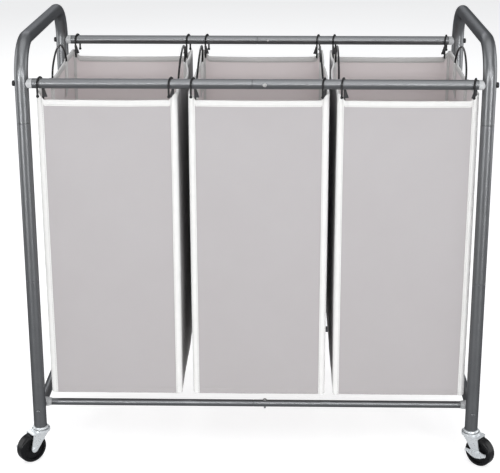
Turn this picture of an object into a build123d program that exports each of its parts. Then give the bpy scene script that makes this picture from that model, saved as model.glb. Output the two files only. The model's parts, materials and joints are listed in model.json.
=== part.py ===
from build123d import *
import os
from math import cos, hypot, radians, sin

# Rolling laundry cart with three fabric bags hung between two rails.
# Millimetres. X runs across the cart, Y from front (-) to rear (+), Z up.
# The origin is on the floor, in the middle of the four casters.

# ---- frame ----
LEG_X = 370.0            # middle of the cart to a leg's centre line
LEG_Y = 196.0
LEG_R = 11.0             # 22 mm tube
LEG_WALL = 1.2
LEG_BOTTOM = 60.0
LOW_JOINT = 327.0        # where the middle leg tube meets the bottom one
HIGH_JOINT = 596.0       # where the arch meets the middle leg tube
NECK_LENGTH = 25.0       # swaged neck that plugs into the tube above
FIT = 0.05               # radial clearance of a plugged or running fit
EDGE_BREAK = 0.6         # chamfer on the tube ends, which shows as a line at each joint
ARCH_Z = 723.5           # centre line of the arch's top
ARCH_BEND = 58.0

# ---- rails ----
RAIL_Z = 660.0
RAIL_R = 8.0
LOW_Z = 90.0
LOW_RAIL_Y = 165.0
LOW_RAIL_R = 6.0
RAIL_WALL = 1.0
SIDE_R = 8.0             # lower side tubes
UPPER_SADDLE = 17.0      # leg centre line to the upper rail's end
LOWER_SADDLE = 16.0      # side tube centre line to the lower rail's end
SPLIT_X = -4.0           # where the two halves of a rail meet
SPLIT_PLUG = 40.0        # length of the neck inside the right half
SCREW_X = 16.0
NUT_LENGTH = 12.0

# ---- casters ----
TRAIL = 20.0
WHEEL_R = 25.0
WHEEL_W = 18.0
HUB_W = 20.0
AXLE_R = 3.0
FORK_GAP = 20.4          # between the fork's two plates
FORK_PLATE = 1.7
CROWN_Z = 51.3           # underside of the fork's crown
CROWN_T = 1.8
DISH_R = 16.0
CAP_R = 13.0
CAP_Z = 56.1             # underside of the raceway cap
BALL_R = 1.4
BALL_RING = 10.2
BALL_COUNT = 12
STEM_R = 4.0
STEM_TOP = 82.0
SWIVEL_ANGLE = 42.0      # rest angle of each caster's trail from the X axis

# ---- bags ----
BAG_W = 224.0
BAG_D = 372.0
BAG_BOTTOM = 116.0
BAG_TOP = 631.0
BAG_WALL = 2.0
BAG_CORNER = 10.0
HOOK_X = 104.0           # bag centre to a hook
HOOK_WIRE = 1.6
HOOK_BEND = 10.4         # centre line radius over the rail
HOOK_REST = 0.5          # how far the bend's centre lies below the rail's
HOOK_TWIST = 15.0        # turn of the hook's plane from square across the rail
HOOK_TIP_Z = 641.0
HOOK_SEWN_Z = 628.0      # lower end of the prong inside the bag's corner
HANDLE_WIRE = 1.7
HANDLE_HALF = 72.5       # half the distance between a handle's legs
HANDLE_FOOT_Z = 596.0
HANDLE_KNEE_Z = 638.0
HANDLE_RISE = 45.0
SLEEVE_W = 9.0
SLEEVE_BOTTOM = 578.0
SLEEVE_TOP = 636.0

SIDES = {"left": -1, "right": 1}
ENDS = {"front": -1, "rear": 1}
# Each bag's centre along the rails.
BAGS = {"left": -237.0, "middle": 6.0, "right": 244.0}
# How far each handle leans into its bag, in degrees: left one, right one.
HANDLE_LEAN = {"left": (0.0, -4.0), "middle": (4.0, 5.0), "right": (0.0, -4.0)}


def save(name, shape):
    os.makedirs("parts", exist_ok=True)
    export_step(shape, f"parts/{name}.step")


def group(pieces):
    """One shape that holds the separate solids of all the pieces."""
    return Compound([solid for piece in pieces for solid in piece.solids()])


def bar_x(radius, start, end, y, z):
    return Pos((start + end) / 2, y, z) * Rot(0, 90, 0) * Cylinder(radius, abs(end - start))


def bar_y(radius, start, end, x, z):
    return Pos(x, (start + end) / 2, z) * Rot(90, 0, 0) * Cylinder(radius, abs(end - start))


def bar_z(radius, start, end, x, y):
    return Pos(x, y, (start + end) / 2) * Cylinder(radius, abs(end - start))


def block(low, high):
    size = [b - a for a, b in zip(low, high)]
    middle = [(a + b) / 2 for a, b in zip(low, high)]
    return Pos(*middle) * Box(*size)


def each_corner():
    for end, y_sign in ENDS.items():
        for side, x_sign in SIDES.items():
            yield f"{end}_{side}", x_sign * LEG_X, y_sign * LEG_Y


def broken_edges(bar):
    return chamfer(bar.edges().filter_by(GeomType.CIRCLE), EDGE_BREAK)


# ---- end frames ----

def necked_tube(x, y, bottom, top):
    """A leg tube whose top is swaged down to plug into the tube above it."""
    bore = LEG_R - LEG_WALL
    neck = bore - FIT
    outside = broken_edges(bar_z(LEG_R, bottom, top, x, y)) + bar_z(neck, top, top + NECK_LENGTH, x, y)
    inside = bar_z(bore, bottom, top - LEG_WALL, x, y)
    inside += bar_z(neck - LEG_WALL, bottom, top + NECK_LENGTH, x, y)
    return outside - inside


def bottom_leg(x, y):
    """The lowest leg tube, drilled for the bolt that holds the side tube."""
    tube = necked_tube(x, y, LEG_BOTTOM, LOW_JOINT)
    return tube - bar_y(2.6, y - 2 * LEG_R, y + 2 * LEG_R, x, LOW_Z)


def arch(x):
    """The push handle: one tube bent twice, drilled for the upper rail bolts."""
    corners = [(x, -LEG_Y, HIGH_JOINT), (x, -LEG_Y, ARCH_Z), (x, LEG_Y, ARCH_Z), (x, LEG_Y, HIGH_JOINT)]
    line = FilletPolyline(*corners, radius=ARCH_BEND)
    foot = Plane((x, -LEG_Y, HIGH_JOINT))
    tube = sweep(foot * Circle(LEG_R), path=line)
    tube = chamfer(tube.edges().filter_by_position(Axis.Z, HIGH_JOINT - 0.1, HIGH_JOINT + 0.1), EDGE_BREAK)
    tube -= sweep(foot * Circle(LEG_R - LEG_WALL), path=line)
    for y in (-LEG_Y, LEG_Y):
        tube -= bar_x(3.1, x - 2 * LEG_R, x + 2 * LEG_R, y, RAIL_Z)
    return tube


def side_tube(x):
    """Lower side tube, its ends coped to the legs and drilled for the lower rail bolts."""
    reach = LEG_Y - 8
    tube = bar_y(SIDE_R, -reach, reach, x, LOW_Z) - bar_y(SIDE_R - RAIL_WALL, -reach, reach, x, LOW_Z)
    for y_sign in ENDS.values():
        tube -= bar_z(LEG_R + 0.02, 0, 2 * LOW_Z, x, y_sign * LEG_Y)
        tube -= bar_x(2.6, x - 2 * SIDE_R, x + 2 * SIDE_R, y_sign * LOW_RAIL_Y, LOW_Z)
    return tube


# ---- rails ----

def rail_halves(radius, end_x, y, z, screw_bar):
    """Two tubes: the left one's neck plugs into the right one, with a hole for the screw."""
    bore = radius - RAIL_WALL
    plug_end = SPLIT_X + SPLIT_PLUG
    left = broken_edges(bar_x(radius, -end_x, SPLIT_X, y, z)) + bar_x(bore - FIT, SPLIT_X, plug_end, y, z)
    left -= bar_x(bore, -end_x, SPLIT_X - RAIL_WALL, y, z)
    left -= bar_x(bore - FIT - RAIL_WALL, -end_x, plug_end, y, z)
    right = broken_edges(bar_x(radius, SPLIT_X, end_x, y, z)) - bar_x(bore, SPLIT_X, end_x, y, z)
    return {"left": left - screw_bar, "right": right - screw_bar}


def upper_saddle(x_sign, y):
    """Spacer between the arch leg and the rail, hollowed to sit against the round leg."""
    leg_x = x_sign * LEG_X
    piece = bar_x(RAIL_R, leg_x - x_sign * 5, leg_x - x_sign * UPPER_SADDLE, y, RAIL_Z)
    piece -= bar_x(3.1, leg_x - 2 * LEG_R, leg_x + 2 * LEG_R, y, RAIL_Z)
    return piece - bar_z(LEG_R + 0.02, RAIL_Z - 30, RAIL_Z + 30, leg_x, y)


def lower_saddle(x_sign, y):
    """Flared spacer between the side tube and the lower rail."""
    tube_x = x_sign * LEG_X
    length = LOWER_SADDLE - 4
    cone = Cone(8.6, LOW_RAIL_R + 0.6, length)
    middle = tube_x - x_sign * (4 + length / 2)
    piece = Pos(middle, y, LOW_Z) * Rot(0, -90 * x_sign, 0) * cone
    piece -= bar_x(2.6, tube_x - 2 * LEG_R, tube_x + 2 * LEG_R, y, LOW_Z)
    return piece - bar_y(SIDE_R + 0.02, y - 20, y + 20, tube_x, LOW_Z)


def bolt(radius, length, head_radius, head_height):
    """Bolt along +X from under its domed head, which is on the negative side."""
    head = Pos(-head_height / 2, 0, 0) * Rot(0, 90, 0) * Cylinder(head_radius, head_height)
    head = fillet(head.edges().sort_by(Axis.X)[0], head_height * 0.45)
    return head + bar_x(radius, 0, length, 0, 0)


def insert_nut(radius, hole, length):
    """Threaded insert, bored along X from its outer face at the origin."""
    return bar_x(radius - 0.02, 0, length, 0, 0) - bar_x(hole + 0.05, 0, length, 0, 0)


def turned(x_sign):
    """Fasteners are drawn pointing along +X for the left side and turned for the right."""
    return Rot(0, 0, 0) if x_sign < 0 else Rot(0, 0, 180)


def frame_nodes():
    for side, x_sign in SIDES.items():
        x = x_sign * LEG_X
        save(f"{side}_arch", arch(x))
        save(f"lower_side_tube_{side}", side_tube(x))
    for corner, x, y in each_corner():
        save(f"middle_leg_{corner}", necked_tube(x, y, LOW_JOINT, HIGH_JOINT))
        save(f"bottom_leg_{corner}", bottom_leg(x, y))


def rail_nodes():
    screw_length = 15.5
    screw_hole = 2.05
    screws = []
    for end, y_sign in ENDS.items():
        y = y_sign * LEG_Y
        hole = bar_y(screw_hole, y - 20, y + 20, SCREW_X, RAIL_Z)
        for side, tube in rail_halves(RAIL_R, LEG_X - UPPER_SADDLE, y, RAIL_Z, hole).items():
            save(f"upper_rail_{end}_{side}", tube)
        turn = Rot(0, 0, -90 * y_sign)
        front = Pos(SCREW_X, y_sign * (LEG_Y + RAIL_R + 0.1), RAIL_Z) * turn
        screws.append(front * bolt(1.9, screw_length, 3.2, 2.0))
        y = y_sign * LOW_RAIL_Y
        hole = bar_z(screw_hole, LOW_Z - 20, LOW_Z + 20, SCREW_X, y)
        for side, tube in rail_halves(LOW_RAIL_R, LEG_X - LOWER_SADDLE, y, LOW_Z, hole).items():
            save(f"lower_rail_{end}_{side}", tube)
        down = Pos(SCREW_X, y, LOW_Z + LOW_RAIL_R + 0.1) * Rot(0, 90, 0)
        screws.append(down * bolt(1.9, screw_length, 3.2, 2.0))
    save("rail_joint_screws", group(screws))


def rail_fasteners():
    upper_bolts, lower_bolts, upper_nuts, lower_nuts, upper_saddles, lower_saddles = ([] for _ in range(6))
    for x_sign in SIDES.values():
        for y_sign in ENDS.values():
            turn = turned(x_sign)
            y = y_sign * LEG_Y
            reach = LEG_R + UPPER_SADDLE + NUT_LENGTH - 1
            bolt_place = Pos(x_sign * (LEG_X + LEG_R), y, RAIL_Z) * turn
            nut_place = Pos(x_sign * (LEG_X - UPPER_SADDLE), y, RAIL_Z) * turn
            upper_bolts.append(bolt_place * bolt(3.0, reach, 4.6, 4.0))
            upper_nuts.append(nut_place * insert_nut(RAIL_R - RAIL_WALL, 3.0, NUT_LENGTH))
            upper_saddles.append(upper_saddle(x_sign, y))
            y = y_sign * LOW_RAIL_Y
            reach = SIDE_R + LOWER_SADDLE + NUT_LENGTH - 1
            bolt_place = Pos(x_sign * (LEG_X + SIDE_R), y, LOW_Z) * turn
            nut_place = Pos(x_sign * (LEG_X - LOWER_SADDLE), y, LOW_Z) * turn
            lower_bolts.append(bolt_place * bolt(2.5, reach, 4.2, 3.0))
            lower_nuts.append(nut_place * insert_nut(LOW_RAIL_R - RAIL_WALL, 2.5, NUT_LENGTH))
            lower_saddles.append(lower_saddle(x_sign, y))
    save("upper_rail_bolts", group(upper_bolts))
    save("lower_rail_bolts", group(lower_bolts))
    save("upper_rail_nuts", group(upper_nuts))
    save("lower_rail_nuts", group(lower_nuts))
    save("upper_rail_saddles", group(upper_saddles))
    save("lower_rail_saddles", group(lower_saddles))


def leg_fasteners():
    """Bolts through the legs into the side tubes, and the sockets that hold the caster stems."""
    bolts, nuts, sockets = [], [], []
    for x_sign in SIDES.values():
        for y_sign in ENDS.values():
            x, y = x_sign * LEG_X, y_sign * LEG_Y
            turn = Rot(0, 0, -90 * y_sign)
            bolts.append(Pos(x, y + y_sign * LEG_R, LOW_Z) * turn * bolt(2.5, 2 * LEG_R + 12, 3.6, 1.8))
            nut = insert_nut(SIDE_R - RAIL_WALL, 2.5, NUT_LENGTH)
            nuts.append(Pos(x, y - y_sign * (LEG_R + 2), LOW_Z) * turn * nut)
            socket = bar_z(LEG_R - LEG_WALL - FIT, LEG_BOTTOM, LEG_BOTTOM + 24, x, y)
            sockets.append(socket - bar_z(STEM_R + FIT, LEG_BOTTOM, LEG_BOTTOM + 24, x, y))
    save("side_tube_bolts", group(bolts))
    save("side_tube_nuts", group(nuts))
    save("caster_sockets", group(sockets))


# ---- casters, drawn with the swivel axis at the origin and the wheel trailing along +X ----

def stem():
    """Stem, raceway cap and riveted king pin: the part of the caster that does not turn."""
    cap = bar_z(CAP_R, CAP_Z, LEG_BOTTOM, 0, 0)
    cap = fillet(cap.edges().sort_by(Axis.Z)[-1], 1.4)
    rivet = bar_z(5.0, CROWN_Z - 2.4, CROWN_Z - 0.2, 0, 0)
    rivet = fillet(rivet.edges().sort_by(Axis.Z)[0], 1.2)
    return cap + bar_z(STEM_R, LEG_BOTTOM, STEM_TOP, 0, 0) + bar_z(3.0, CROWN_Z - 1, CAP_Z, 0, 0) + rivet


def ball(index):
    turn = radians(360 / BALL_COUNT * index)
    height = (CROWN_Z + CROWN_T + CAP_Z) / 2
    return Pos(BALL_RING * cos(turn), BALL_RING * sin(turn), height) * Sphere(BALL_R)


def fork():
    """Stamped fork: crown with a raceway dish, and two plates that taper to the axle."""
    half = FORK_GAP / 2 + FORK_PLATE
    back, front, top = -12.0, 23.0, CROWN_Z + CROWN_T
    crown = block((back, -half, CROWN_Z), (front, half, top))
    crown = fillet(crown.edges().filter_by(Axis.Z), 3.0)
    crown += bar_z(DISH_R, CROWN_Z, top + 2.6, 0, 0) - bar_z(DISH_R - 1.8, top, top + 3, 0, 0)
    boss = Pos(TRAIL, WHEEL_R) * Circle(5.8)
    shoulder = Line((back + 2.5, top - 0.5), (front - 2.5, top - 0.5))
    outline = make_hull([*boss.edges(), *shoulder.edges()])
    plate = extrude(Plane.XZ * outline, amount=FORK_PLATE)
    shape = crown + Pos(0, half, 0) * plate + Pos(0, FORK_PLATE - half, 0) * plate
    shape -= bar_z(3.0 + FIT, 0, 100, 0, 0)
    return shape - bar_y(AXLE_R + FIT, -half - 1, half + 1, TRAIL, WHEEL_R)


def wheel():
    """Moulded wheel with a rounded tread, dished sides and a hub."""
    tread = fillet(bar_y(WHEEL_R, -WHEEL_W / 2, WHEEL_W / 2, TRAIL, WHEEL_R).edges(), 3.5)
    for sign in (-1, 1):
        face = sign * WHEEL_W / 2
        ring = bar_y(19.0, face - sign * 3, face + sign, TRAIL, WHEEL_R)
        tread -= ring - bar_y(8.0, face - sign * 3, face + sign, TRAIL, WHEEL_R)
    hub = bar_y(7.0, -HUB_W / 2, HUB_W / 2, TRAIL, WHEEL_R)
    return tread + hub - bar_y(AXLE_R + FIT, -HUB_W, HUB_W, TRAIL, WHEEL_R)


def axle(braked):
    """Riveted axle. On a braked caster the -Y end carries the lever and a square nut."""
    plate_face = FORK_GAP / 2 + FORK_PLATE
    rivet = bar_y(4.6, plate_face + 0.1, plate_face + 1.9, TRAIL, WHEEL_R)
    rivet = fillet(rivet.edges().sort_by(Axis.Y)[-1], 1.2)
    if not braked:
        pin = bar_y(AXLE_R, -plate_face - 0.1, plate_face + 0.1, TRAIL, WHEEL_R)
        return pin + rivet + mirror(rivet, Plane.XZ)
    nut_face = -plate_face - 2.0
    nut = block((TRAIL - 4.5, nut_face - 3.4, WHEEL_R - 4.5), (TRAIL + 4.5, nut_face, WHEEL_R + 4.5))
    nut = chamfer(nut.edges().filter_by(Axis.Y), 0.8)
    return bar_y(AXLE_R, nut_face - 4.4, plate_face + 0.1, TRAIL, WHEEL_R) + rivet + nut


def brake_lever():
    """Stamped side lever on the axle, outside the fork, with a foot tab at each tip."""
    near = -(FORK_GAP / 2 + FORK_PLATE + 0.2)
    thickness = 1.6
    wing = [(0, -8.5), (9, -6.5), (20, -0.5), (20, 4), (13, 3.8), (6, 6.5), (0, 7)]
    outline = wing + [(-x, z) for x, z in reversed(wing[1:-1])]
    face = make_face(Polyline(*[(TRAIL + x, WHEEL_R + z) for x, z in outline], close=True))
    lever = Pos(0, near, 0) * extrude(Plane.XZ * face, amount=thickness)
    for sign in (-1, 1):
        inner, outer = sorted((TRAIL + sign * 18.4, TRAIL + sign * 20))
        lever += block((inner, near - 4.4, WHEEL_R - 0.5), (outer, near, WHEEL_R + 4))
    return lever - bar_y(AXLE_R + FIT, near - 5, near + 1, TRAIL, WHEEL_R)


def caster_nodes():
    stems, balls = [], []
    for corner, x, y in each_corner():
        angle = SWIVEL_ANGLE * (1 if x * y > 0 else -1) + (180 if x < 0 else 0)
        place = Pos(x, y, 0) * Rot(0, 0, angle)
        braked = y < 0
        stems.append(place * stem())
        balls += [place * ball(index) for index in range(BALL_COUNT)]
        save(f"caster_fork_{corner}", place * fork())
        save(f"caster_wheel_{corner}", place * wheel())
        save(f"caster_axle_{corner}", place * axle(braked))
        if braked:
            save(f"brake_lever_{corner}", place * brake_lever())
    save("caster_stems", group(stems))
    save("caster_balls", group(balls))


# ---- bags, drawn with the bag's middle at X = 0 ----

def rounded_slab(width, depth, corner, z):
    return Pos(0, 0, z) * RectangleRounded(width, depth, corner)


def bag_form(inset, bottom, top):
    """Filled bag shape, a little slimmer at the base and fuller at mid height."""
    levels = [(bottom, -6.0), (bottom + 0.45 * (top - bottom), 2.0), (top, 0.0)]
    corner = BAG_CORNER - inset / 2
    slabs = [
        rounded_slab(BAG_W + grow - 2 * inset, BAG_D + grow / 2 - 2 * inset, corner, z)
        for z, grow in levels
    ]
    return loft(slabs)


def bag_shell():
    """Open-topped fabric bag with a tab at each top corner that holds a hook."""
    shell = bag_form(0, BAG_BOTTOM, BAG_TOP)
    for x_sign in SIDES.values():
        for y_sign in ENDS.values():
            x = x_sign * HOOK_X
            back, front = sorted((y_sign * (BAG_D / 2 - 3.4), y_sign * (BAG_D / 2 + 0.8)))
            shell += block((x - 5, back, BAG_TOP - 20), (x + 5, front, BAG_TOP + 8))
    return shell - bag_form(BAG_WALL, BAG_BOTTOM + BAG_WALL, BAG_TOP + 0.01)


def hook(x, y_sign):
    """Wire hook over a rail: ball-tipped prong outside, long prong sewn into the bag."""
    spring = RAIL_Z - HOOK_REST
    up = Line((0, -HOOK_BEND, HOOK_TIP_Z), (0, -HOOK_BEND, spring))
    over = ThreePointArc((0, -HOOK_BEND, spring), (0, 0, spring + HOOK_BEND), (0, HOOK_BEND, spring))
    down = Line((0, HOOK_BEND, spring), (0, HOOK_BEND, HOOK_SEWN_Z))
    wire = sweep(Plane((0, -HOOK_BEND, HOOK_TIP_Z)) * Circle(HOOK_WIRE), path=Wire([up, over, down]))
    wire += Pos(0, -HOOK_BEND, HOOK_TIP_Z) * Sphere(2.5)
    return Pos(x, y_sign * LEG_Y, 0) * Rot(0, 0, 90 + 90 * y_sign - HOOK_TWIST) * wire


def handle_arch_line():
    """Three tangent arcs in YZ from one leg to the other, starting and ending upright."""
    small = 30.0
    middle_y = HANDLE_HALF - small
    large = (middle_y**2 + HANDLE_RISE**2 - small**2) / (2 * (HANDLE_RISE - small))
    drop = large - HANDLE_RISE
    span = hypot(middle_y, drop)
    meet = (middle_y + small * middle_y / span, small * drop / span)
    half_turn = hypot(meet[0] - middle_y + small, meet[1])
    bulge = (middle_y + small * (meet[0] - middle_y + small) / half_turn, small * meet[1] / half_turn)
    left = ThreePointArc((0, -HANDLE_HALF, 0), (0, -bulge[0], bulge[1]), (0, -meet[0], meet[1]))
    top = ThreePointArc((0, -meet[0], meet[1]), (0, 0, HANDLE_RISE), (0, meet[0], meet[1]))
    right = ThreePointArc((0, meet[0], meet[1]), (0, bulge[0], bulge[1]), (0, HANDLE_HALF, 0))
    return Wire([left, top, right])


def handle(x_sign, lean):
    """Stiff wire loop whose two legs stand in the sleeves and whose arch may lean inwards."""
    x = handle_x(x_sign)
    bow = sweep(Plane((0, -HANDLE_HALF, 0)) * Circle(HANDLE_WIRE), path=handle_arch_line())
    wire = Pos(x, 0, HANDLE_KNEE_Z) * Rot(0, -x_sign * lean, 0) * bow
    for y in (-HANDLE_HALF, HANDLE_HALF):
        wire += bar_z(HANDLE_WIRE, HANDLE_FOOT_Z, HANDLE_KNEE_Z, x, y)
        wire += Pos(x, y, HANDLE_KNEE_Z) * Sphere(HANDLE_WIRE)
    return wire


def handle_x(x_sign):
    return x_sign * (BAG_W / 2 - BAG_WALL - HANDLE_WIRE - 2.4)


def sleeve(x_sign, y):
    """Sewn strap on the inside of the side panel that holds one leg of a handle."""
    x = handle_x(x_sign)
    half_t = HANDLE_WIRE + 0.8
    strap = block((x - half_t, y - SLEEVE_W / 2, SLEEVE_BOTTOM), (x + half_t, y + SLEEVE_W / 2, SLEEVE_TOP))
    return strap - bar_z(HANDLE_WIRE + FIT, HANDLE_FOOT_Z, SLEEVE_TOP, x, y)


def bag_nodes():
    for name, centre in BAGS.items():
        place = Pos(centre, 0, 0)
        corners = [(x_sign * HOOK_X, y_sign) for x_sign in (-1, 1) for y_sign in (-1, 1)]
        hooks = [place * hook(x, y_sign) for x, y_sign in corners]
        handles = [place * handle(x_sign, lean) for x_sign, lean in zip((-1, 1), HANDLE_LEAN[name])]
        feet = [(x_sign, y) for x_sign in (-1, 1) for y in (-HANDLE_HALF, HANDLE_HALF)]
        save(f"{name}_bag", place * bag_shell())
        save(f"{name}_bag_hooks", group(hooks))
        save(f"{name}_bag_handles", group(handles))
        save(f"{name}_bag_sleeves", group([place * sleeve(x_sign, y) for x_sign, y in feet]))


frame_nodes()
rail_nodes()
rail_fasteners()
leg_fasteners()
caster_nodes()
bag_nodes()
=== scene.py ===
import json
import math
import bpy
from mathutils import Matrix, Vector, noise


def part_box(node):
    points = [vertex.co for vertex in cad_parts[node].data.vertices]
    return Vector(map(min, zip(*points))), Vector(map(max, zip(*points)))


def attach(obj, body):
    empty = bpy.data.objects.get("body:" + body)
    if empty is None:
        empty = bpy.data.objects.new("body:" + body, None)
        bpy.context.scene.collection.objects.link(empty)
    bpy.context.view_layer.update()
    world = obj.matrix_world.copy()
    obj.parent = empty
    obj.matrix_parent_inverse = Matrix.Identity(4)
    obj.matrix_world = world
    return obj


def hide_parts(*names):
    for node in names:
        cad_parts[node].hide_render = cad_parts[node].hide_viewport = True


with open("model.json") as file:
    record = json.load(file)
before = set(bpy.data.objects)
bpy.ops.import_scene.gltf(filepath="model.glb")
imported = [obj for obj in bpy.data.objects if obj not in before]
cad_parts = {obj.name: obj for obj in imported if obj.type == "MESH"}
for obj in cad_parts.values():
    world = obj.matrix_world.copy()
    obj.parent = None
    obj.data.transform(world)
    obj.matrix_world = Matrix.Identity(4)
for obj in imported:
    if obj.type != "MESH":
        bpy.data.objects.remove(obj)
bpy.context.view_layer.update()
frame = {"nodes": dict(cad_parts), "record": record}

MM = 0.001
BAGS = ("left", "middle", "right")
SIGNS = (-1, 1)

# ---- places read from the frame ----
RAIL = Vector(next(m["pos_m"] for m in frame["record"]["mounts"] if m["name"] == "front_hanging_rail"))
RAIL_Y = abs(RAIL.y)
BAG_CENTRE = {bag: (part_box(bag + "_bag")[0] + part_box(bag + "_bag")[1]).x / 2 for bag in BAGS}
BAG_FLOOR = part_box("middle_bag")[0].z
WIRE_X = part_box("left_bag_sleeves")[1].x - BAG_CENTRE["left"] - 2.5 * MM
ANCHOR_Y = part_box("middle_bag_sleeves")[1].y - 4.5 * MM
HOOK_X = 104 * MM
HOOK_SKEW = 2.7 * MM
HOOK_Y = RAIL_Y - 10 * MM

# ---- bag pattern, in metres ----
BAG_TOP = RAIL.z - 29 * MM
HALF_W = 112 * MM
HALF_D = 186 * MM
CLOTH = 1.2 * MM
TAPE_W = 10 * MM
CORNER_R = 4 * MM
BASE_R = 3 * MM
CORNER_RISE = 12 * MM
STITCH_IN = 8.2 * MM
STITCH_PITCH = 3.2 * MM
THREAD_HALF = 0.35 * MM

# ---- handle sleeves and hook tabs ----
SLEEVE_LOW = 578 * MM
SLEEVE_HIGH = 643 * MM
SLEEVE_HALF_W = 4.6 * MM
TAB_LOW = RAIL.z - 24 * MM
TAB_HIGH = RAIL.z - 9 * MM
TAB_HALF_W = 3.6 * MM
TAB_HALF_T = 2.1 * MM

# ---- studio ----
WORLD_COLOUR = (0.94, 0.96, 1.0, 1)
WORLD_STRENGTH = 0.36
FLOOR_SIZE = 80
# name, place, target, width and height, watts
SOFT_BOXES = (
    ("left_wall", (-2.4, 0.35, 0.8), (-0.3, 0, 0.5), (1.6, 1.9), 20),
    ("right_wall", (2.4, 0.35, 0.8), (0.3, 0, 0.5), (1.6, 1.9), 20),
    ("left_low", (-1.6, -2.4, 0.5), (-0.2, 0, 0.4), (0.5, 0.95), 22),
    ("right_low", (1.7, -2.4, 0.5), (0.2, 0, 0.4), (0.5, 0.95), 22),
    ("front_strip", (0.1, -3.0, 1.3), (0, 0, 0.66), (3.2, 0.28), 36),
    ("high_box", (0.2, -2.1, 2.6), (0, 0, 0.5), (1.8, 1.2), 16),
    ("top_box", (0, -0.3, 3.0), (0, 0, 0), (3.2, 2.6), 26),
    ("rear_box", (-0.6, 3.2, 2.6), (0, 0, 0.5), (2.6, 1.6), 34),
)
CAMERA_PLACE = (0.045, -2.2, 1.09)
CAMERA_PITCH = 17.3
CAMERA_TURN = 1.05
CAMERA_LENS = 93
CAMERA_SHIFT = (-0.02, -0.07)


# ---- hand tools ----

def clear():
    if bpy.context.mode != "OBJECT":
        bpy.ops.object.mode_set(mode="OBJECT")
    bpy.ops.object.select_all(action="DESELECT")


def take(piece):
    clear()
    piece.select_set(True)
    bpy.context.view_layer.objects.active = piece


def name_it(piece, name):
    piece.name = name
    piece.data.name = name
    return piece


def settle(piece):
    """Puts the piece's place into its mesh."""
    take(piece)
    bpy.ops.object.transform_apply(location=True, rotation=True, scale=True)
    return piece


def add_cube(name, low, high):
    clear()
    low, high = Vector(low), Vector(high)
    bpy.ops.mesh.primitive_cube_add(size=1, location=(low + high) / 2, scale=high - low)
    return settle(name_it(bpy.context.object, name))


def edit(piece, kind="FACE"):
    take(piece)
    bpy.ops.object.mode_set(mode="EDIT")
    bpy.ops.mesh.select_mode(type=kind)


def choose_faces(piece, wanted):
    """Selects the faces whose centre and normal pass the test, and stays in edit mode."""
    edit(piece)
    bpy.ops.mesh.select_all(action="DESELECT")
    bpy.ops.object.mode_set(mode="OBJECT")
    for face in piece.data.polygons:
        face.select = wanted(face.center, face.normal)
    bpy.ops.object.mode_set(mode="EDIT")


def choose_edges(piece, wanted):
    """Selects the edges whose two ends pass the test, and stays in edit mode."""
    edit(piece, "EDGE")
    bpy.ops.mesh.select_all(action="DESELECT")
    bpy.ops.object.mode_set(mode="OBJECT")
    points = piece.data.vertices
    for line in piece.data.edges:
        a, b = (points[i].co for i in line.vertices)
        line.select = wanted(a, b)
    bpy.ops.object.mode_set(mode="EDIT")


def slice_at(piece, axis, places):
    """Cuts an edge loop right through the piece at each place along the axis."""
    edit(piece)
    normal = [1.0 if i == axis else 0.0 for i in range(3)]
    for place in places:
        bpy.ops.mesh.select_all(action="SELECT")
        point = [place if i == axis else 0.0 for i in range(3)]
        bpy.ops.mesh.bisect(plane_co=point, plane_no=normal)
    clear()


def apply_modifier(piece, kind, **settings):
    take(piece)
    modifier = piece.modifiers.new(kind.title(), kind)
    for key, value in settings.items():
        setattr(modifier, key, value)
    bpy.ops.object.modifier_apply(modifier=modifier.name)


def soften(piece, width, degrees=50):
    """Rounds the edges that turn by more than this many degrees."""
    limit = math.radians(degrees)
    apply_modifier(piece, "BEVEL", width=width, segments=2, limit_method="ANGLE", angle_limit=limit)


def smooth(piece, degrees):
    take(piece)
    bpy.ops.object.shade_smooth_by_angle(angle=math.radians(degrees))


def copy_of(piece, name):
    other = piece.copy()
    other.data = piece.data.copy()
    bpy.context.collection.objects.link(other)
    return name_it(other, name)


def put(piece, body, material):
    piece.data.materials.clear()
    piece.data.materials.append(material)
    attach(piece, body)
    return piece


def ease(low, high, value):
    t = min(max((value - low) / (high - low), 0.0), 1.0)
    return t * t * (3 - 2 * t)


# ---- materials ----

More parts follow.
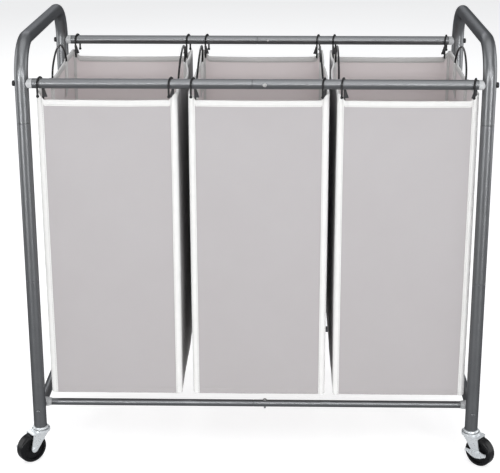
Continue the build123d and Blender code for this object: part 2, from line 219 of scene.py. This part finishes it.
class Finish:
    """A material with short ways to add the nodes that a finish needs."""

    def __init__(self, name, coords="Object"):
        self.material = bpy.data.materials.new(name)
        self.material.use_nodes = True
        self.tree = self.material.node_tree
        self.shader = self.tree.nodes["Principled BSDF"]
        self.place = self.tree.nodes.new("ShaderNodeTexCoord").outputs[coords]

    def node(self, kind, **values):
        made = self.tree.nodes.new("ShaderNode" + kind)
        for key, value in values.items():
            if hasattr(made, key):
                setattr(made, key, value)
            else:
                made.inputs[key.replace("_", " ")].default_value = value
        return made

    def link(self, output, target):
        self.tree.links.new(output, target)

    def set(self, **values):
        for key, value in values.items():
            self.shader.inputs[key.replace("_", " ")].default_value = value
        return self

    def noise(self, scale, detail):
        made = self.node("TexNoise", Scale=scale, Detail=detail)
        self.link(self.place, made.inputs["Vector"])
        return made.outputs["Fac"]

    def bands(self, axis, pitch, distortion=0.0):
        """Parallel threads across the axis, one every pitch metres."""
        made = self.node("TexWave", bands_direction=axis, Scale=math.pi / 10 / pitch, Distortion=distortion)
        made.inputs["Detail Scale"].default_value = 2.0
        self.link(self.place, made.inputs["Vector"])
        return made.outputs["Fac"]

    def speckle(self, scale):
        made = self.node("TexVoronoi", Scale=scale)
        self.link(self.place, made.inputs["Vector"])
        return made.outputs["Distance"]

    def spread(self, source, low, high, start=0.3, end=0.7):
        """Turns a pattern into a number that runs from low to high."""
        made = self.node("MapRange")
        for key, value in zip(("From Min", "From Max", "To Min", "To Max"), (start, end, low, high)):
            made.inputs[key].default_value = value
        self.link(source, made.inputs["Value"])
        return made.outputs["Result"]

    def blend(self, source, first, second):
        """Mixes two colours by a pattern: inputs 6 and 7 and output 2 are the node's colour sockets."""
        made = self.node("Mix", data_type="RGBA")
        made.inputs[6].default_value = (*first, 1)
        made.inputs[7].default_value = (*second, 1)
        self.link(source, made.inputs[0])
        return made.outputs[2]

    def combine(self, first, second, how):
        made = self.node("Math", operation=how)
        self.link(first, made.inputs[0])
        if isinstance(second, float):
            made.inputs[1].default_value = second
        else:
            self.link(second, made.inputs[1])
        return made.outputs[0]

    def sewn_line(self, axis, place):
        """1 on the thread of a row of stitches, which lies this far out along the axis and runs across it."""
        split = self.node("SeparateXYZ")
        self.link(self.place, split.inputs[0])
        across, along = (split.outputs[i] for i in ((0, 1) if axis == "X" else (1, 0)))
        away = self.combine(self.combine(across, 0.0, "ABSOLUTE"), place, "SUBTRACT")
        on_line = self.combine(self.combine(away, 0.0, "ABSOLUTE"), THREAD_HALF, "LESS_THAN")
        step = self.combine(self.combine(along, STITCH_PITCH, "DIVIDE"), 0.0, "FRACT")
        return self.combine(on_line, self.combine(step, 0.72, "LESS_THAN"), "MULTIPLY")

    def height(self):
        """How high a point is, in metres."""
        made = self.node("SeparateXYZ")
        self.link(self.tree.nodes["Texture Coordinate"].outputs["Object"], made.inputs[0])
        return made.outputs["Z"]

    def colour(self, output):
        self.link(output, self.shader.inputs["Base Color"])
        return self

    def rough(self, output):
        self.link(output, self.shader.inputs["Roughness"])
        return self

    def bump(self, *layers):
        """Each layer is a pattern, a depth in metres and a strength."""
        previous = None
        for source, depth, strength in layers:
            made = self.node("Bump", Strength=strength, Distance=depth)
            self.link(source, made.inputs["Height"])
            if previous:
                self.link(previous, made.inputs["Normal"])
            previous = made.outputs["Normal"]
        self.link(previous, self.shader.inputs["Normal"])
        return self.material


def gunmetal_paint():
    f = Finish("gunmetal_paint")
    f.set(Metallic=0.95, Specular_Tint=(0.3, 0.3, 0.31, 1))
    flakes = f.spread(f.speckle(1600), 0.0, 1.0, 0.15, 0.6)
    f.colour(f.blend(flakes, (0.24, 0.245, 0.252), (0.19, 0.195, 0.201)))
    f.rough(f.spread(f.noise(38, 4), 0.34, 0.4))
    return f.bump((f.noise(700, 2), 0.00002, 0.25), (f.noise(60, 2), 0.0003, 0.01))


def zinc_plate():
    f = Finish("zinc_plate")
    f.set(Metallic=0.6)
    f.colour(f.blend(f.noise(60, 3), (0.66, 0.69, 0.71), (0.72, 0.74, 0.75)))
    f.rough(f.spread(f.noise(420, 5), 0.26, 0.34))
    return f.bump((f.noise(1300, 3), 0.00002, 0.06))


def plain_steel():
    f = Finish("plain_steel")
    f.set(Metallic=1.0)
    f.colour(f.blend(f.noise(300, 4), (0.5, 0.5, 0.5), (0.62, 0.61, 0.6)))
    f.rough(f.spread(f.noise(900, 4), 0.26, 0.42))
    return f.bump((f.noise(2200, 2), 0.00008, 0.3))


def black_steel():
    f = Finish("black_steel")
    f.set(Metallic=0.6)
    f.colour(f.blend(f.noise(500, 4), (0.012, 0.012, 0.013), (0.03, 0.03, 0.032)))
    f.rough(f.spread(f.noise(700, 3), 0.3, 0.5))
    return f.bump((f.noise(1500, 3), 0.0001, 0.3))


def grey_plastic():
    f = Finish("grey_moulded_plastic")
    f.colour(f.blend(f.noise(120, 3), (0.33, 0.338, 0.345), (0.4, 0.405, 0.41)))
    f.rough(f.spread(f.noise(600, 3), 0.38, 0.52))
    return f.bump((f.noise(1800, 2), 0.00008, 0.3))


def black_wheel():
    f = Finish("black_wheel")
    f.set(Specular_IOR_Level=0.2)
    f.colour(f.blend(f.noise(90, 5), (0.003, 0.003, 0.0035), (0.008, 0.008, 0.009)))
    f.rough(f.spread(f.noise(250, 4), 0.22, 0.38))
    return f.bump((f.noise(1400, 3), 0.00015, 0.3), (f.noise(140, 3), 0.0004, 0.15))


def black_wire():
    f = Finish("black_coated_wire")
    f.set(Specular_IOR_Level=0.3)
    f.colour(f.blend(f.noise(200, 3), (0.003, 0.003, 0.0035), (0.008, 0.008, 0.009)))
    f.rough(f.spread(f.noise(400, 3), 0.32, 0.45))
    return f.bump((f.noise(900, 2), 0.0001, 0.2))


def bag_cloth_finish(name, dark, light):
    """Coated plain weave, a little darker towards the bottom as painted shade, with a random tone over it."""
    f = Finish(name, "UV")
    f.set(Sheen_Weight=0.12, Sheen_Roughness=0.5, Specular_IOR_Level=0.25)
    # Painted shade: the colour runs lighter with height, plus a random tone from the noise.
    painted_shade_and_tone = f.combine(f.spread(f.height(), 0.0, 0.7, 0.1, 0.64), f.spread(f.noise(7, 4), 0.0, 0.3), "ADD")
    f.colour(f.blend(painted_shade_and_tone, dark, light))
    f.rough(f.spread(f.noise(26, 4), 0.62, 0.8))
    warp = f.bands("X", 0.7 * MM, 0.4)
    weft = f.bands("Y", 0.7 * MM, 0.4)
    weave = f.combine(warp, weft, "MULTIPLY")
    return f.bump((weave, 0.00012, 0.35), (f.noise(42, 4), 0.0012, 0.12), (f.noise(11, 3), 0.004, 0.1))


def tape_finish(name, axis, place):
    """White binding tape with fine ribs across it and one row of stitches along it."""
    f = Finish(name, "UV")
    f.set(Sheen_Weight=0.15, Specular_IOR_Level=0.25)
    thread = f.sewn_line(axis, place)
    tape = f.blend(f.noise(60, 4), (0.53, 0.527, 0.52), (0.59, 0.587, 0.58))
    sewn = f.node("Mix", data_type="RGBA")
    sewn.inputs[7].default_value = (0.4, 0.395, 0.39, 1)
    f.link(tape, sewn.inputs[6])
    f.link(thread, sewn.inputs[0])
    f.colour(sewn.outputs[2])
    f.rough(f.spread(f.noise(200, 3), 0.7, 0.85))
    ribs = f.combine(f.bands("X", 0.55 * MM), f.bands("Y", 0.55 * MM), "MAXIMUM")
    return f.bump((ribs, 0.00012, 0.4), (f.noise(120, 3), 0.0005, 0.2), (thread, 0.0004, 0.8))


def webbing_finish():
    f = Finish("black_webbing")
    f.set(Sheen_Weight=0.2)
    f.colour(f.blend(f.noise(300, 3), (0.012, 0.012, 0.013), (0.03, 0.03, 0.032)))
    f.rough(f.spread(f.noise(500, 3), 0.65, 0.85))
    ribs = f.combine(f.bands("Z", 0.9 * MM), f.bands("X", 0.9 * MM), "MULTIPLY")
    return f.bump((ribs, 0.0003, 0.6))


def floor_finish():
    f = Finish("pale_floor")
    f.colour(f.blend(f.noise(1.5, 3), (0.6, 0.6, 0.6), (0.63, 0.63, 0.63)))
    f.rough(f.spread(f.noise(6, 3), 0.6, 0.7))
    f.set(Emission_Color=(1, 1, 1, 1), Emission_Strength=0.6)
    return f.bump((f.noise(90, 2), 0.0002, 0.1))


# ---- bags ----

def bag_blank():
    """The sewn bag before it hangs: an open box with rounded corners, sliced finely enough to bend."""
    bag = add_cube("bag_blank", (-HALF_W, -HALF_D, BAG_FLOOR), (HALF_W, HALF_D, BAG_TOP))
    choose_faces(bag, lambda centre, normal: normal.z > 0.9)
    bpy.ops.mesh.delete(type="FACE")
    choose_edges(bag, lambda a, b: abs(a.z - b.z) > 0.1)
    bpy.ops.mesh.bevel(offset=CORNER_R, segments=3, affect="EDGES")
    choose_edges(bag, lambda a, b: max(a.z, b.z) < BAG_FLOOR + MM)
    bpy.ops.mesh.bevel(offset=BASE_R, segments=2, affect="EDGES")
    height = BAG_TOP - BAG_FLOOR
    rows = [BAG_FLOOR + height * k / 40 for k in range(1, 39)] + [BAG_TOP - TAPE_W, BAG_TOP - 5 * MM]
    slice_at(bag, 2, rows)
    across = [HALF_W * k / 11 for k in range(-9, 10)]
    near_corner = [sign * (HALF_W - d * MM) for sign in SIGNS for d in (15, 12.5, 10, 7.5, 6, 4.5)]
    slice_at(bag, 0, across + near_corner)
    deep = [HALF_D * k / 20 for k in range(-19, 20)]
    slice_at(bag, 1, deep)
    lay_out_pattern(bag)
    return bag


def lay_out_pattern(piece):
    """UV map in metres: along the cloth and up it, so that the weave keeps its size."""
    layer = piece.data.uv_layers.active or piece.data.uv_layers.new(name="cloth")
    for face in piece.data.polygons:
        for loop in face.loop_indices:
            p = piece.data.vertices[piece.data.loops[loop].vertex_index].co
            if abs(face.normal.z) > 0.7:
                layer.data[loop].uv = (p.x, p.y)
            elif abs(face.normal.y) > abs(face.normal.x):
                layer.data[loop].uv = (p.x, p.z)
            else:
                layer.data[loop].uv = (p.y, p.z)


def top_lift(p):
    """How far the top edge rises or sags from its level line."""
    if abs(p.y) > HALF_D - 2 * MM:
        along = abs(p.x) / HALF_W
        return CORNER_RISE * ease(0.88, 0.99, along) - 1.2 * MM * (1 - along**2)
    if abs(p.y) > ANCHOR_Y:
        return CORNER_RISE
    return CORNER_RISE * abs(p.y / ANCHOR_Y) ** 2.4


def hang(p, seed):
    """Where a point of the blank goes when the bag hangs from its hooks and handles."""
    across, deep = p.x / HALF_W, p.y / HALF_D
    up = (p.z - BAG_FLOOR) / (BAG_TOP - BAG_FLOOR)
    place = p.copy()
    place.x *= 1 - 0.005 * (1 - up) ** 2
    place.y *= 1 - 0.010 * (1 - up) ** 2
    belly = math.sin(math.pi * min(max(up, 0), 1))
    wrinkle = noise.noise(Vector((p.x * 16, p.y * 12, p.z * 5 + seed)))
    fine = noise.noise(Vector((p.x * 45, p.y * 38, p.z * 14 + 2 * seed)))
    ripple = 1.3 * MM * wrinkle + 0.5 * MM * fine
    rim = ease(0.82, 1.0, up)
    if abs(p.y) > HALF_D - 2 * MM:
        end = math.copysign(1, p.y)
        calm = 1 - abs(across) ** 6
        slump = -1.8 * MM * rim
        place.y += end * calm * (1.6 * MM * belly + slump + ripple)
        prong = math.copysign(HOOK_X, p.x) - end * HOOK_SKEW
        over_prong = math.exp(-(((p.x - prong) / (3.6 * MM)) ** 4)) * ease(0.965, 0.99, up)
        place.y += end * 3.1 * MM * over_prong
    elif abs(p.x) > HALF_W - 2 * MM:
        calm = 1 - abs(deep) ** 8
        between = max(0.0, 1 - (p.y / ANCHOR_Y) ** 2)
        out = 3 * MM * belly + 3.2 * MM * rim * between
        pull = math.exp(-(((abs(p.y) - ANCHOR_Y) / (17 * MM)) ** 2)) * ease(0.84, 0.92, up)
        out = out * (1 - pull) - 2.6 * MM * pull
        place.x += math.copysign(1, p.x) * calm * (out + ripple * (1 - 0.8 * rim) * (1 - pull))
    if p.z < BAG_FLOOR + MM:
        place.z -= 4 * MM * (1 - across**2) * (1 - deep**2)
    place.z += ease(0.72, 1.0, up) * top_lift(p)
    return place


def hung(piece, bag):
    seed = 3.7 + 5.3 * BAGS.index(bag)
    for point in piece.data.vertices:
        point.co = hang(point.co, seed)
        point.co.x += BAG_CENTRE[bag]
    piece.data.update()
    return piece


def tape_from(blank, name, wanted):
    """A tape sewn on the cloth: a copy of the cloth's faces that it covers."""
    whole = copy_of(blank, name + "_source")
    choose_faces(whole, lambda centre, normal: not wanted(centre, normal))
    bpy.ops.mesh.delete(type="FACE")
    clear()
    return name_it(whole, name)


def on_hem(centre, normal):
    return centre.z > BAG_TOP - TAPE_W and abs(normal.z) < 0.5


def on_corner_tape(centre, normal):
    near_side = abs(centre.x) > HALF_W - TAPE_W and abs(centre.y) > HALF_D - CORNER_R
    return near_side and abs(normal.z) < 0.5


def on_inner_seam(centre, normal):
    in_corner = abs(centre.x) > HALF_W - 6 * MM and abs(centre.y) > HALF_D - CORNER_R
    return in_corner and abs(normal.z) < 0.5 and centre.z < BAG_TOP - TAPE_W


def fatten(piece, distance):
    edit(piece)
    bpy.ops.mesh.select_all(action="SELECT")
    bpy.ops.transform.shrink_fatten(value=distance)
    clear()


def sew_bag(bag, blank, hem, corners, seams, finishes):
    cloth = hung(copy_of(blank, bag + "_bag_cloth"), bag)
    put(cloth, "bag_" + bag, finishes["cloth"])
    # The inner shell gets a lighter, pinker copy of the same cloth: painted light standing in for light
    # reaching inside the bag.
    cloth.data.materials.append(finishes["inside_painted_light"])
    apply_modifier(cloth, "SOLIDIFY", thickness=CLOTH, offset=-1, material_offset=1)
    smooth(cloth, 50)
    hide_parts(bag + "_bag")

    rim = hung(copy_of(hem, bag + "_bag_top_binding"), bag)
    for point in rim.data.vertices:
        point.co.z += 0.5 * MM
    apply_modifier(rim, "SOLIDIFY", thickness=2.8 * MM, offset=-0.45)
    soften(rim, 0.5 * MM)
    smooth(rim, 50)
    put(rim, "bag_" + bag, finishes["tape"])

    edge = hung(copy_of(corners, bag + "_bag_corner_bindings"), bag)
    fatten(edge, 0.35 * MM)
    apply_modifier(edge, "SOLIDIFY", thickness=1.0 * MM, offset=0)
    soften(edge, 0.25 * MM)
    smooth(edge, 50)
    put(edge, "bag_" + bag, finishes["edge_tape"])

    seam = hung(copy_of(seams, bag + "_bag_inner_seams"), bag)
    fatten(seam, -CLOTH - 0.5 * MM)
    apply_modifier(seam, "SOLIDIFY", thickness=0.8 * MM, offset=0)
    smooth(seam, 50)
    put(seam, "bag_" + bag, finishes["tape"])


def sleeve(bag, side, end, finishes):
    """White strap sewn over a handle's leg on the inside of the side panel."""
    x = BAG_CENTRE[bag] + side * WIRE_X
    y = end * ANCHOR_Y
    clear()
    bpy.ops.mesh.primitive_grid_add(x_subdivisions=14, y_subdivisions=12, size=1, location=(0, 0, 0))
    name = f"{bag}_bag_sleeve_{'left' if side < 0 else 'right'}_{'front' if end < 0 else 'rear'}"
    strap = settle(name_it(bpy.context.object, name))
    for point in strap.data.vertices:
        t, up = point.co.y * 2, point.co.x + 0.5
        narrow = SLEEVE_HALF_W * (1 - 0.42 * ease(0.84, 1.0, up))
        over = 4.3 * MM * math.exp(-((t * narrow / (2.6 * MM)) ** 4)) * ease(0.02, 0.3, up)
        shift = 2.2 * MM - over
        place_z = SLEEVE_LOW + up * (SLEEVE_HIGH - SLEEVE_LOW)
        point.co = Vector((x + side * shift, y + t * narrow, place_z))
    strap.data.update()
    apply_modifier(strap, "SOLIDIFY", thickness=0.8 * MM, offset=0)
    apply_modifier(strap, "SUBSURF", levels=1, render_levels=1)
    smooth(strap, 60)
    return put(strap, "bag_" + bag, finishes["tape"])


def hook_tab(bag, side, end, finishes):
    """Black webbing loop that ties a hook's inner prong to the bag's corner."""
    x = BAG_CENTRE[bag] + side * HOOK_X - end * HOOK_SKEW
    y = end * HOOK_Y
    name = f"{bag}_bag_tab_{'left' if side < 0 else 'right'}_{'front' if end < 0 else 'rear'}"
    near = (x - TAB_HALF_W, y - TAB_HALF_T, TAB_LOW)
    far = (x + TAB_HALF_W, y + TAB_HALF_T, TAB_HIGH)
    tab = add_cube(name, near, far)
    slice_at(tab, 2, [TAB_LOW + (TAB_HIGH - TAB_LOW) * k / 5 for k in range(1, 5)])
    slice_at(tab, 0, [x - 1.8 * MM, x, x + 1.8 * MM])
    for point in tab.data.vertices:
        up = (point.co.z - TAB_LOW) / (TAB_HIGH - TAB_LOW)
        point.co.x = x + (point.co.x - x) * (1.1 - 0.6 * up) - side * 2.8 * MM * (1 - up)
        if abs(point.co.x - x) < 3 * MM:
            point.co.y += math.copysign(0.5 * MM, point.co.y - y)
    tab.data.update()
    soften(tab, 0.6 * MM, 40)
    smooth(tab, 40)
    return put(tab, "bag_" + bag, finishes["webbing"])


def sew_bags():
    finishes = {
        "cloth": bag_cloth_finish("taupe_bag_cloth", (0.298, 0.282, 0.285), (0.328, 0.315, 0.32)),
        # Painted light: the bag's inside is the same cloth as the outside, given lighter, pinker colours to
        # stand in for light reaching in.
        "inside_painted_light": bag_cloth_finish("bag_inside_painted_light", (0.67, 0.615, 0.61), (0.74, 0.685, 0.685)),
        "tape": tape_finish("white_hem_tape", "Y", BAG_TOP - STITCH_IN),
        "edge_tape": tape_finish("white_edge_tape", "X", HALF_W - STITCH_IN),
        "webbing": webbing_finish(),
    }
    blank = bag_blank()
    hem = tape_from(blank, "hem_blank", on_hem)
    corners = tape_from(blank, "corner_blank", on_corner_tape)
    seams = tape_from(blank, "seam_blank", on_inner_seam)
    for bag in BAGS:
        sew_bag(bag, blank, hem, corners, seams, finishes)
        straps = [sleeve(bag, side, end, finishes) for side in SIGNS for end in SIGNS]
        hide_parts(bag + "_bag_sleeves")
        for side in SIGNS:
            for end in SIGNS:
                hook_tab(bag, side, end, finishes)
    for pattern in (blank, hem, corners, seams):
        bpy.data.objects.remove(pattern)


# ---- frame, casters and fittings ----

def finish_metalwork():
    """The CAD nodes that show as they are get the finish of their material slot."""
    finishes = {
        "frame_paint": gunmetal_paint(),
        "zinc_plate": zinc_plate(),
        "steel_fittings": plain_steel(),
        "black_fasteners": black_steel(),
        "spacer_plastic": grey_plastic(),
        "wheel": black_wheel(),
        "coated_wire": black_wire(),
    }
    for part in frame["record"]["subparts"]:
        finish = finishes.get(part["material_slot"])
        node = frame["nodes"][part["node"]]
        if finish and not node.hide_render:
            node.data.materials.clear()
            node.data.materials.append(finish)


# ---- floor, lights and camera ----

def lay_floor():
    clear()
    bpy.ops.mesh.primitive_grid_add(x_subdivisions=8, y_subdivisions=8, size=FLOOR_SIZE, location=(0, 0, 0))
    floor = settle(name_it(bpy.context.object, "studio_floor"))
    floor.data.materials.append(floor_finish())
    # The floor is left out of reflections, which keeps the upright tubes from mirroring it.
    floor.visible_glossy = False


def soft_box(name, place, target, size, power):
    light = bpy.data.lights.new(name, "AREA")
    light.shape = "RECTANGLE"
    light.size, light.size_y = size
    light.energy = power
    lamp = bpy.data.objects.new(name, light)
    bpy.context.collection.objects.link(lamp)
    lamp.location = place
    lamp.visible_camera = False
    lamp.rotation_euler = (Vector(target) - Vector(place)).to_track_quat("-Z", "Y").to_euler()


def light_studio():
    world = bpy.context.scene.world or bpy.data.worlds.new("studio")
    bpy.context.scene.world = world
    world.use_nodes = True
    background = world.node_tree.nodes["Background"]
    background.inputs["Color"].default_value = WORLD_COLOUR
    background.inputs["Strength"].default_value = WORLD_STRENGTH
    for box in SOFT_BOXES:
        soft_box(*box)
    bpy.context.scene.view_settings.view_transform = "Standard"


def set_camera():
    lens = bpy.data.cameras.new("camera")
    lens.lens = CAMERA_LENS
    lens.sensor_width = 36
    lens.shift_x, lens.shift_y = CAMERA_SHIFT
    lens.clip_end = 60
    camera = bpy.data.objects.new("camera", lens)
    bpy.context.collection.objects.link(camera)
    camera.location = CAMERA_PLACE
    camera.rotation_euler = (math.radians(90 - CAMERA_PITCH), 0, math.radians(CAMERA_TURN))
    bpy.context.scene.camera = camera


set_camera()
lay_floor()
light_studio()
sew_bags()
finish_metalwork()
